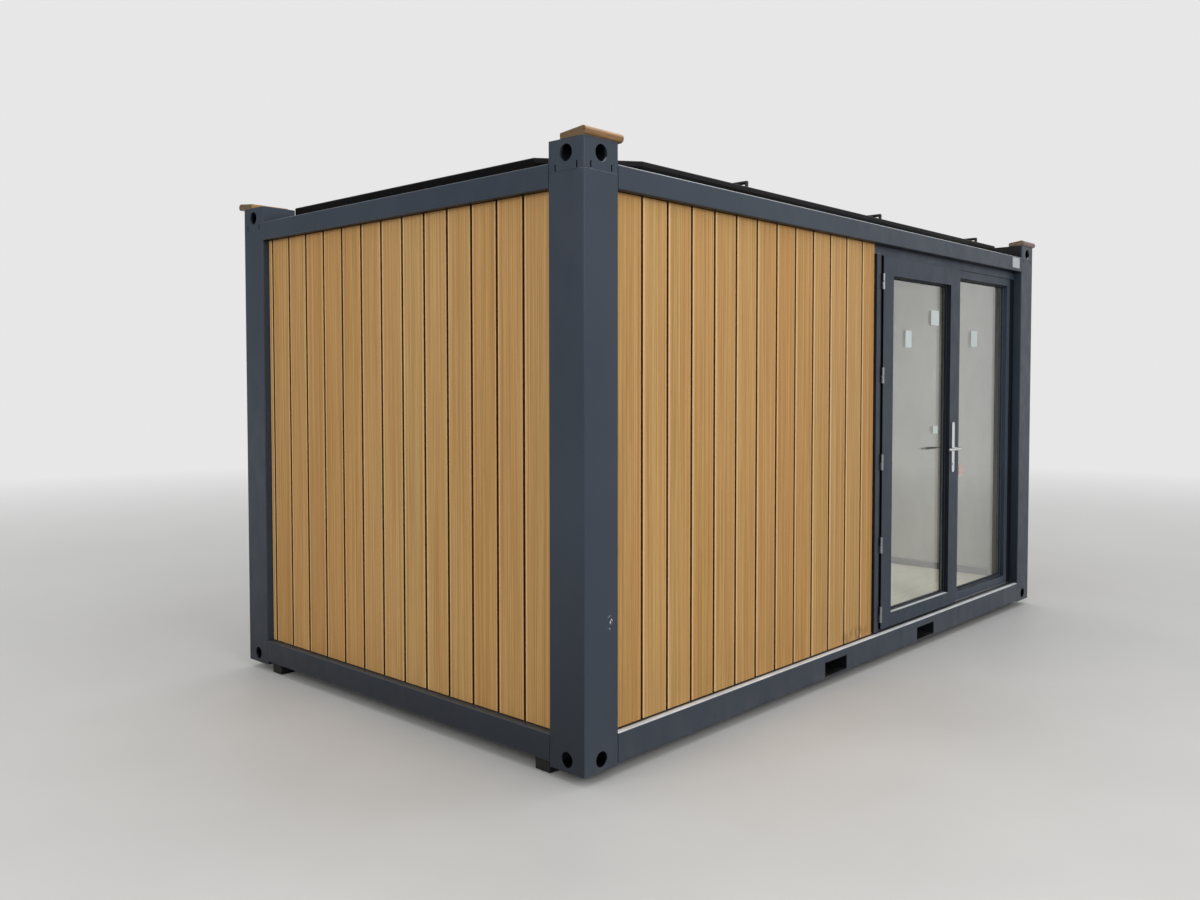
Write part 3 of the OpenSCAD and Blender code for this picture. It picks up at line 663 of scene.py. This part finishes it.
def ceiling_board():
    """White ceiling panels with thin joints."""
    look = Look("ceiling_board")
    cloud = look.noise(waves=(2.0, 2.0, 2.0), detail=4.0)
    joint = look.line("X", PANEL_PITCH, CEILING_JOINT)
    look.colour(look.mix(joint, look.blend(cloud, *CEILING_TONES), CEILING_LINE))
    look.rough(cloud, low=0.55, high=0.7)
    look.bump(look.times(joint, -1.0), JOINT_DEPTH)
    return look.material


def floor_sheet():
    """Pale vinyl planks: staggered joints and a printed grain."""
    look = Look("floor_sheet")
    length, width = PLANK_SIZE
    first, second = (rgba(tone) for tone in PLANK_TONES)
    planks = look.node("TexBrick", {"Vector": look.coords, "Color1": first, "Color2": second,
                                    "Mortar": rgba(PLANK_LINE), "Mortar Size": PLANK_JOINT, "Scale": 1.0,
                                    "Brick Width": length, "Row Height": width}, offset=PLANK_STAGGER)
    grain = look.noise(waves=(5.0, 130.0, 130.0), detail=4.0, roughness=0.6)
    look.colour(look.mix(look.scale(grain, low=0.0, high=0.3), planks.outputs["Color"], PLANK_GRAIN))
    look.rough(grain, low=0.36, high=0.5)
    look.bump(look.times(planks.outputs["Fac"], -1.0), PLANK_JOINT_DEPTH)
    look.bump(grain, depth=0.0001)
    return look.material


def bright_metal(name, tones, smooth, coarse):
    """Bare metal with fine brushing and a few dull patches."""
    look = Look(name, {"Metallic": 1.0})
    brush = look.noise(waves=(700.0, 700.0, 45.0), detail=3.0)
    look.colour(look.blend(brush, *tones))
    look.rough(look.noise(waves=(26.0, 26.0, 26.0), detail=4.0), smooth, coarse)
    look.bump(brush, depth=0.00004)
    return look.material


def window_glass():
    """Clear glass that lets lamps through, with faint smears."""
    look = Look("window_glass", {"Transmission Weight": 1.0, "IOR": 1.5})
    smear = look.noise(waves=(6.0, 6.0, 3.0), detail=5.0, roughness=0.65)
    look.colour(look.blend(smear, *GLASS_TONES))
    look.rough(smear, low=0.0, high=0.02, start=0.5, stop=0.75)
    lets_through = look.node("BsdfTransparent", {"Color": rgba(GLASS_TONES[0])})
    look.surface(look.node("LightPath").outputs["Is Shadow Ray"], lets_through)
    return look.material


# Mesh helpers

def piece_of(name, form, materials, body, slot, *replaced):
    """A new object from a bmesh, riding on a body. The slot argument is not used."""
    bmesh.ops.recalc_face_normals(form, faces=form.faces)
    mesh = bpy.data.meshes.new(name)
    form.to_mesh(mesh)
    form.free()
    for material in materials:
        mesh.materials.append(material)
    mesh.shade_smooth()
    mesh.set_sharp_from_angle(angle=math.radians(SMOOTH_ANGLE))
    piece = bpy.data.objects.new(name, mesh)
    bpy.context.scene.collection.objects.link(piece)
    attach(piece, body)
    if replaced:
        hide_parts(*replaced)


def prism(form, outline, travel, material=0):
    """A closed solid: an outline of points, swept along a straight travel. Gives its two loops and sides."""
    start = [form.verts.new(point) for point in outline]
    end = [form.verts.new(point + travel) for point in outline]
    caps = [form.faces.new(start), form.faces.new(end)]
    sides = []
    for i in range(len(outline)):
        j = (i + 1) % len(outline)
        sides.append(form.faces.new((start[i], start[j], end[j], end[i])))
    for face in caps + sides:
        face.material_index = material
    return start, end, sides


def rounded_corner(centre, radius, first, last):
    """Points of an arc about a centre, as pairs, from one angle to another in degrees."""
    points = []
    for i in range(ARC_STEPS + 1):
        angle = math.radians(first + (last - first) * i / ARC_STEPS)
        points.append((centre[0] + radius * math.cos(angle), centre[1] + radius * math.sin(angle)))
    return points


def rounded_rectangle(centre, width, height, radius):
    """The outline of a rectangle with round corners, as pairs."""
    left, right = centre[0] - width / 2 + radius, centre[0] + width / 2 - radius
    low, high = centre[1] - height / 2 + radius, centre[1] + height / 2 - radius
    return (rounded_corner((right, high), radius, 0, 90) + rounded_corner((left, high), radius, 90, 180)
            + rounded_corner((left, low), radius, 180, 270) + rounded_corner((right, low), radius, 270, 360))


def ring(form, low, high, width, front, back, material=0):
    """A rectangular frame in the XZ plane, mitred at its corners. low and high are its outer corners."""
    loops = []
    for inset, y in ((0.0, front), (width, front), (width, back), (0.0, back)):
        x0, z0, x1, z1 = low[0] + inset, low[1] + inset, high[0] - inset, high[1] - inset
        corners = ((x0, z0), (x1, z0), (x1, z1), (x0, z1))
        loops.append([form.verts.new((x, y, z)) for x, z in corners])
    for k in range(4):
        first, second = loops[k], loops[(k + 1) % 4]
        for i in range(4):
            j = (i + 1) % 4
            face = form.faces.new((first[i], first[j], second[j], second[i]))
            face.material_index = material


def soften(node, material, width=0.0, segments=2):
    """Gives a CAD node a material, and rounds its edges with modifiers where a width is given."""
    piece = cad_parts[node]
    piece.data.materials.clear()
    piece.data.materials.append(material)
    if width:
        weld = piece.modifiers.new("weld", "WELD")
        weld.merge_threshold = WELD_REACH
        flats = piece.modifiers.new("flats", "DECIMATE")
        flats.decimate_type = "DISSOLVE"
        flats.angle_limit = math.radians(FLAT_ANGLE)
        edges = piece.modifiers.new("edges", "BEVEL")
        edges.width = width
        edges.segments = segments
        edges.limit_method = "ANGLE"
        edges.angle_limit = math.radians(ROUND_ANGLE)
        normals = piece.modifiers.new("normals", "WEIGHTED_NORMAL")
        normals.keep_sharp = False


# Boards on the four sides

class Side:
    """A clad side: turns a place along it, into it and up into a point."""

    def __init__(self, name):
        self.node = name + "_cladding"
        self.low, self.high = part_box(self.node)
        self.name = name
        self.run = 0 if name in ("front", "back") else 1
        self.length = self.high[self.run] - self.low[self.run]
        self.depth = self.high[1 - self.run] - self.low[1 - self.run]
        self.height = self.high.z - self.low.z
        self.left_first = name in ("front", "right")

    def point(self, along, into, z):
        """The point so far along the side, so far into it from its outer face, at a height."""
        across = 1 - self.run
        place = [0.0, 0.0, z]
        place[self.run] = self.low[self.run] + along
        near = self.name in ("front", "left")
        place[across] = self.low[across] + into if near else self.high[across] - into
        return Vector(place)


def board_edges(length):
    """Where each board of a run starts and ends, counted from the corner it starts at."""
    edges = []
    start = 0.0
    cut = FIRST_BOARD
    while cut <= length - BOARD_GAP:
        edges.append((start, cut - BOARD_GAP / 2))
        start = cut + BOARD_GAP / 2
        cut += BOARD_PITCH
    edges.append((start, length))
    return edges


def eased_edge(corner, width, drop, hand):
    """Points round a board's front edge, from its side wall to a little way on over its face. hand, 1 or -1,
    is the way inwards."""
    along, face = corner
    points = []
    for i in range(ARC_STEPS + 1):
        angle = math.radians(90 * i / ARC_STEPS)
        points.append((along + hand * width * (1 - math.cos(angle)), face + drop * (1 - math.sin(angle))))
    return points + [(along + hand * (width + HIGHLIGHT_FACE), face)]


# A board's outline runs from its back corner round two eased edges to its other back corner. An edge has
# ARC_STEPS + 2 points, each with a share of painted highlight, from its side wall on. The side walls are down
# in the joints.
EDGE_HIGHLIGHT = (0.6, 1.0, 1.0, 0.8, 0.0)
FIRST_EDGE = tuple(range(1, len(EDGE_HIGHLIGHT) + 1))
LAST_EDGE = tuple(range(2 * len(EDGE_HIGHLIGHT), len(EDGE_HIGHLIGHT), -1))
GROOVE_WALLS = (0, 2 * len(EDGE_HIGHLIGHT))


def highlight_at(index, lit_edge_points):
    """How much painted highlight an outline point takes: full on the lit edge, less on the other one, none on
    the back.
    """
    for points in (FIRST_EDGE, LAST_EDGE):
        if index in points:
            return EDGE_HIGHLIGHT[points.index(index)] * (1.0 if points == lit_edge_points else PLAIN_HIGHLIGHT_SHARE)
    return 0.0


def lay_board(form, side, start, end, tone, edge):
    """One board of a side. tone and edge are the layers that hold its own tone and the painted highlight on
    its edges.
    """
    face = rng.uniform(0.0, BOARD_PLAY)
    first, last = (HIGHLIGHT_EDGE, PLAIN_EDGE) if side.left_first else (PLAIN_EDGE, HIGHLIGHT_EDGE)
    outline = ([(start, BOARD_DEPTH)] + eased_edge((start, face), *first, 1)
               + eased_edge((end, face), *last, -1)[::-1] + [(end, BOARD_DEPTH)])
    points = [side.point(along, into, side.low.z) for along, into in outline]
    feet, tops, walls = prism(form, points, Vector((0, 0, side.height)))
    own_tone = rng.random()
    lit_edge_points = FIRST_EDGE if side.left_first else LAST_EDGE
    for loop in (feet, tops):
        for i, vertex in enumerate(loop):
            vertex[tone] = own_tone
            vertex[edge] = highlight_at(i, lit_edge_points)
    for i in GROOVE_WALLS:
        walls[i].material_index = GROOVE_INDEX


def clad(name, wood, groove):
    """The boards of one side and the brown sheet that they are fixed to. Seen from outside, each board's
    left edge is eased wide and takes a painted highlight."""
    side = Side(name)
    form = bmesh.new()
    tone = form.verts.layers.float.new("tone")
    edge = form.verts.layers.float.new("edge")
    for start, end in board_edges(side.length):
        lay_board(form, side, start, end, tone, edge)
    outline = ((0, BOARD_DEPTH), (side.length, BOARD_DEPTH), (side.length, side.depth), (0, side.depth))
    sheet = [side.point(along, into, side.low.z - SHEET_EXTRA / 2) for along, into in outline]
    prism(form, sheet, Vector((0, 0, side.height + SHEET_EXTRA)), GROOVE_INDEX)
    piece_of(name + "_boards", form, [wood, groove], "cabin", "cladding", side.node)


# Glazing

def glaze(name, node, body, glass, spacer, gasket):
    """Two panes with a spacer bar between them, and a rubber line where each pane meets its frame."""
    low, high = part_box(node)
    form = bmesh.new()
    corners = ((low.x, low.z), (high.x, low.z), (high.x, high.z), (low.x, high.z))
    for front in (low.y, high.y - PANE_T):
        prism(form, [Vector((x, front, z)) for x, z in corners], Vector((0, PANE_T, 0)))
    bar = [(low.x + SPACER_IN, low.z + SPACER_IN), (high.x - SPACER_IN, high.z - SPACER_IN)]
    ring(form, *bar, SPACER_W, low.y + PANE_T, high.y - PANE_T, SPACER_INDEX)
    piece_of(name + "_panes", form, [glass, spacer], body, "glass", node)
    form = bmesh.new()
    seen = [(low.x + GLASS_LAP, low.z + GLASS_LAP), (high.x - GLASS_LAP, high.z - GLASS_LAP)]
    ring(form, *seen, GASKET_W, low.y - GASKET_T, low.y)
    ring(form, *seen, GASKET_W, high.y, high.y + GASKET_T)
    piece_of(name + "_gaskets", form, [gasket], body, "door_profile")


def stick_tags(name, node, body, papers):
    """Bare paper tags on the outer face of a pane."""
    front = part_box(node)[0].y
    form = bmesh.new()
    for pane, x, z, width, height, kind in TAGS:
        if pane != node:
            continue
        outline = rounded_rectangle((x, z), width, height, TAG_ROUND)
        points = [Vector((across, front - TAG_T, up)) for across, up in outline]
        prism(form, points, Vector((0, TAG_T, 0)), list(papers).index(kind))
    piece_of(name + "_tags", form, list(papers.values()), body, "glass")


# Trim

def casing_outline(end, hand):
    """A casing's outline: from the end wall round the post to the long wall, or to the jamb of the door."""
    inner_x, inward_x = (1, 1) if hand == "left" else (0, -1)
    inner_y, inward_y = (1, 1) if end == "front" else (0, -1)
    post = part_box(f"corner_post_{end}_{hand}")
    x, y = post[inner_x].x, post[inner_y].y
    over_x, over_y = x + inward_x * CASING_T, y + inward_y * CASING_T
    long_side = "door_right_jamb" if (end, hand) == ("front", "right") else end + "_wall"
    wall_x, wall_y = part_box(hand + "_wall")[inner_x].x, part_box(long_side)[inner_y].y
    return ((wall_x, y), (x, y), (x, wall_y), (over_x, wall_y), (over_x, over_y), (wall_x, over_y))


def post_casings(material):
    """Pale casings round the inner faces of the corner posts, from the floor to the ceiling."""
    floor_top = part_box("floor_covering")[1].z
    travel = Vector((0, 0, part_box("ceiling")[0].z - floor_top))
    form = bmesh.new()
    for end in ("front", "back"):
        for hand in ("left", "right"):
            prism(form, [Vector((x, y, floor_top)) for x, y in casing_outline(end, hand)], travel)
    piece_of("post_casings", form, [material], "cabin", "wall_panel")


def skirting(material):
    """Boards along the foot of the room's walls, between the casings of the posts."""
    thick, tall = SKIRTING_SIZE
    curve = (thick - SKIRTING_ROUND, tall - SKIRTING_ROUND)
    section = [(0.0, 0.0), (thick, 0.0)] + rounded_corner(curve, SKIRTING_ROUND, 0, 90) + [(0.0, tall)]
    floor_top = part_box("floor_covering")[1].z
    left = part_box("corner_post_back_left")[1].x + CASING_T
    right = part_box("corner_post_back_right")[0].x - CASING_T
    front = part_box("corner_post_front_left")[1].y + CASING_T
    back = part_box("corner_post_back_left")[0].y - CASING_T
    door_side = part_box("front_wall")[1].x
    runs = [
        ((left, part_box("back_wall")[0].y), (right - left, 0), (0, -1)),
        ((left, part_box("front_wall")[1].y), (door_side - left, 0), (0, 1)),
        ((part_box("left_wall")[1].x, front), (0, back - front), (1, 0)),
        ((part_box("right_wall")[0].x, front), (0, back - front), (-1, 0)),
    ]
    form = bmesh.new()
    for start, travel, inward in runs:
        outline = [Vector((start[0] + into * inward[0], start[1] + into * inward[1], floor_top + up))
                   for into, up in section]
        prism(form, outline, Vector((*travel, 0)))
    piece_of("skirting", form, [material], "cabin", "wall_panel")


def rail_plate(material):
    """The bare plate at the right end of the front top rail."""
    low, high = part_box("front_top_rail")
    width, height, thick = PLATE_SIZE
    outline = rounded_rectangle((PLATE_X, (low.z + high.z) / 2 + PLATE_RISE), width, height, TAG_ROUND)
    form = bmesh.new()
    prism(form, [Vector((x, low.y - thick, z)) for x, z in outline], Vector((0, thick, 0)))
    piece_of("rail_plate", form, [material], "cabin", "frame_paint")


# The frame, what is under it, and the roof

frame_paint = painted_steel("frame_paint", FRAME_TONES, FRAME_DUST_AND_HIGHLIGHT, chipped=True)
# Painted shade, black, on the faces that look left of the right corner blocks.
shaded_block_paint = painted_steel("shaded_block_paint", FRAME_TONES, FRAME_DUST_AND_HIGHLIGHT, left_shade=1.0)
under_paint = painted_steel("under_paint", UNDER_TONES, UNDER_DUST_AND_HIGHLIGHT)

for name in sorted(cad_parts):
    if name in ("corner_block_front_right", "corner_block_back_right"):
        soften(name, shaded_block_paint, FRAME_ROUND)
    elif name.startswith(("corner_post", "corner_block")) or name.endswith("_rail"):
        soften(name, frame_paint, FRAME_ROUND)
for name in ("fork_pockets", "floor_joists"):
    soften(name, under_paint, UNDER_ROUND)
soften("support_feet", rubber("foot_rubber", FOOT_TONES), FOOT_ROUND)
soften("corner_pads", pad_wood(), PAD_ROUND, segments=3)
soften("roof_deck", roof_skin(), ROOF_ROUND, segments=3)
soften("roof_loops", bright_metal("loop_steel", LOOP_TONES, smooth=0.42, coarse=0.6))
soften("roof_panel", under_paint)

# The walls, the floor and the boards

long_wall = wall_panel("long_wall_panel", "Y", "back_wall")
end_wall = wall_panel("end_wall_panel", "X", "right_wall")
for name in ("front_wall", "back_wall", "wall_over_door"):
    soften(name, long_wall)
for name in ("left_wall", "right_wall"):
    soften(name, end_wall)
soften("floor_deck", deck_board())
soften("floor_covering", floor_sheet())
soften("ceiling", ceiling_board())

wood = board_wood()
groove = groove_wood()
for name in ("front", "back", "left", "right"):
    clad(name, wood, groove)

# The door set

# Painted shade, black, in the gap beside the hinges.
hinge_gap = (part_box("door_left_jamb")[1].x - GAP_SHADE_FACE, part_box("door_leaf")[0].x)
# The door's paint has painted shade on faces that look left.
door_paint = painted_steel("door_paint", DOOR_TONES, DOOR_DUST_AND_HIGHLIGHT, gap_shade=hinge_gap, shine=0.2, left_shade=0.7,
                           front="door_leaf")
# A lighter copy of the door paint: painted light on the head, mullion and sash.
lit_bar_paint = painted_steel("lit_bar_paint", BAR_LIT_TONES, BAR_DUST_AND_HIGHLIGHT, shine=0.2, front="door_leaf")
# Painted shade: the right jamb is painted near black.
jamb_shade_paint = painted_steel("jamb_shade_paint", JAMB_SHADE_TONES, DOOR_DUST_AND_HIGHLIGHT, shine=0.12)
steel = bright_metal("hinge_steel", HINGE_TONES, smooth=0.26, coarse=0.4)
chrome = bright_metal("handle_chrome", CHROME_TONES, smooth=0.07, coarse=0.16)
gasket = rubber("gasket_rubber", GASKET_TONES)

for name in ("door_left_jamb", "door_leaf"):
    soften(name, door_paint, DOOR_ROUND)
for name in ("door_mullion", "door_head", "fixed_sash"):
    soften(name, lit_bar_paint, DOOR_ROUND)
soften("door_right_jamb", jamb_shade_paint, DOOR_ROUND)
soften("door_stops", gasket, DOOR_ROUND)
soften("door_sill", steel, SILL_ROUND)
for name in ("hinge_pins", "hinge_knuckles"):
    soften(name, steel, HINGE_ROUND)
soften("handle_plates", chrome, HANDLE_ROUND)
soften("lever_handles", chrome)

glass = window_glass()
spacer = bright_metal("spacer_bar", SPACER_TONES, smooth=0.3, coarse=0.45)
papers = {"paper": paper("tag_paper", TAG_TONES), "faded_paper": paper("faded_tag_paper", FADED_TONES)}
glaze("door", "door_glass", "door", glass, spacer, gasket)
glaze("side_light", "fixed_glass", "cabin", glass, spacer, gasket)
stick_tags("door", "door_glass", "door", papers)
stick_tags("side_light", "fixed_glass", "cabin", papers)

# The trim in the room, and the plate on the front

post_casings(end_wall)
skirting(paper("skirting_board", SKIRTING_TONES))
rail_plate(paper("bare_plate", PLATE_TONES))


# The studio

def studio_floor():
    """A pale floor that runs into the background far from the object."""
    look = Look("studio_floor", {"Specular IOR Level": 0.3})
    cloud = look.noise(waves=(0.5, 0.5, 0.5), detail=5.0)
    look.colour(look.mix(look.seen_ray(), STUDIO_BOUNCE, look.blend(cloud, *STUDIO_TONES)))
    look.rough(cloud, low=0.5, high=0.62)
    away = look.node("VectorMath", {0: look.coords}, operation="LENGTH").outputs["Value"]
    fade = look.times(look.rise(away, *FLOOR_FADE), look.seen_ray())
    look.surface(fade, look.node("Emission", {"Color": grey(BACKGROUND)}))
    form = bmesh.new()
    form.faces.new([form.verts.new((x * FLOOR_REACH, y * FLOOR_REACH, 0.0))
                    for x, y in ((-1, -1), (1, -1), (1, 1), (-1, 1))])
    mesh = bpy.data.meshes.new("studio_floor")
    form.to_mesh(mesh)
    form.free()
    mesh.materials.append(look.material)
    floor = bpy.data.objects.new("studio_floor", mesh)
    bpy.context.scene.collection.objects.link(floor)


def dim_share(graph):
    """1, or less for a ray off a shiny face that runs to the left."""
    direction = graph.node("TexCoord").outputs["Generated"]
    rightward = graph.node("SeparateXYZ", {0: direction}).outputs["X"]
    dim = graph.scale(rightward, DIM_SHARE, 1.0, *DIM_STRETCH)
    shiny = graph.node("LightPath").outputs["Is Glossy Ray"]
    return graph.node("Mix", {0: shiny, 2: 1.0, 3: dim}).outputs[0]


def studio_world():
    """Even light on the object, and a pale background for what the camera and shiny faces see."""
    world = bpy.data.worlds.new("studio")
    world.use_nodes = True
    graph = Graph(world.node_tree)
    light = graph.tree.nodes["Background"]
    graph.feed(light.inputs["Color"], grey(LIGHT_LEVEL))
    seen = graph.node("Background", {"Color": grey(BACKGROUND), "Strength": dim_share(graph)})
    both = graph.node("MixShader", {0: graph.seen_ray(), 1: light.outputs[0], 2: seen.outputs[0]})
    graph.feed(graph.tree.nodes["World Output"].inputs["Surface"], both.outputs[0])
    bpy.context.scene.world = world


def softbox(name, place, target, size, radiance):
    """A rectangular lamp that faces a target. Returns its object."""
    lamp = bpy.data.lights.new(name, "AREA")
    lamp.shape = "RECTANGLE"
    lamp.size, lamp.size_y = size
    lamp.energy = radiance * math.pi * size[0] * size[1]
    holder = bpy.data.objects.new(name, lamp)
    holder.location = place
    holder.rotation_euler = (Vector(target) - Vector(place)).to_track_quat("-Z", "Y").to_euler()
    bpy.context.scene.collection.objects.link(holder)
    return holder


def room_lamp():
    """A lamp under the ceiling that lights the room but isn't seen, in shiny faces either."""
    x, y = ROOM_LAMP_PLACE
    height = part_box("ceiling")[0].z - ROOM_LAMP_DROP
    holder = softbox("room_softbox", (x, y, height), (x, y, 0.0), ROOM_LAMP_SIZE, ROOM_LAMP_RADIANCE)
    holder.data.spread = math.radians(ROOM_LAMP_SPREAD)
    holder.visible_camera = False
    holder.visible_glossy = False
    holder.visible_transmission = False


def photo_camera():
    """The camera that the photograph was taken with."""
    camera = bpy.data.cameras.new("photo_camera")
    camera.lens = CAMERA_LENS
    camera.sensor_width = CAMERA_SENSOR
    camera.shift_x, camera.shift_y = CAMERA_SHIFT
    holder = bpy.data.objects.new("photo_camera", camera)
    holder.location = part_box("corner_post_front_left")[0] + Vector(CAMERA_PLACE)
    holder.rotation_euler = (math.radians(90 - CAMERA_DIP), 0.0, -math.radians(CAMERA_TURN))
    bpy.context.scene.collection.objects.link(holder)
    bpy.context.scene.camera = holder


studio_floor()
studio_world()
for name, lamp in LAMPS.items():
    softbox(name, *lamp)
room_lamp()
photo_camera()
bpy.context.scene.view_settings.view_transform = "Standard"
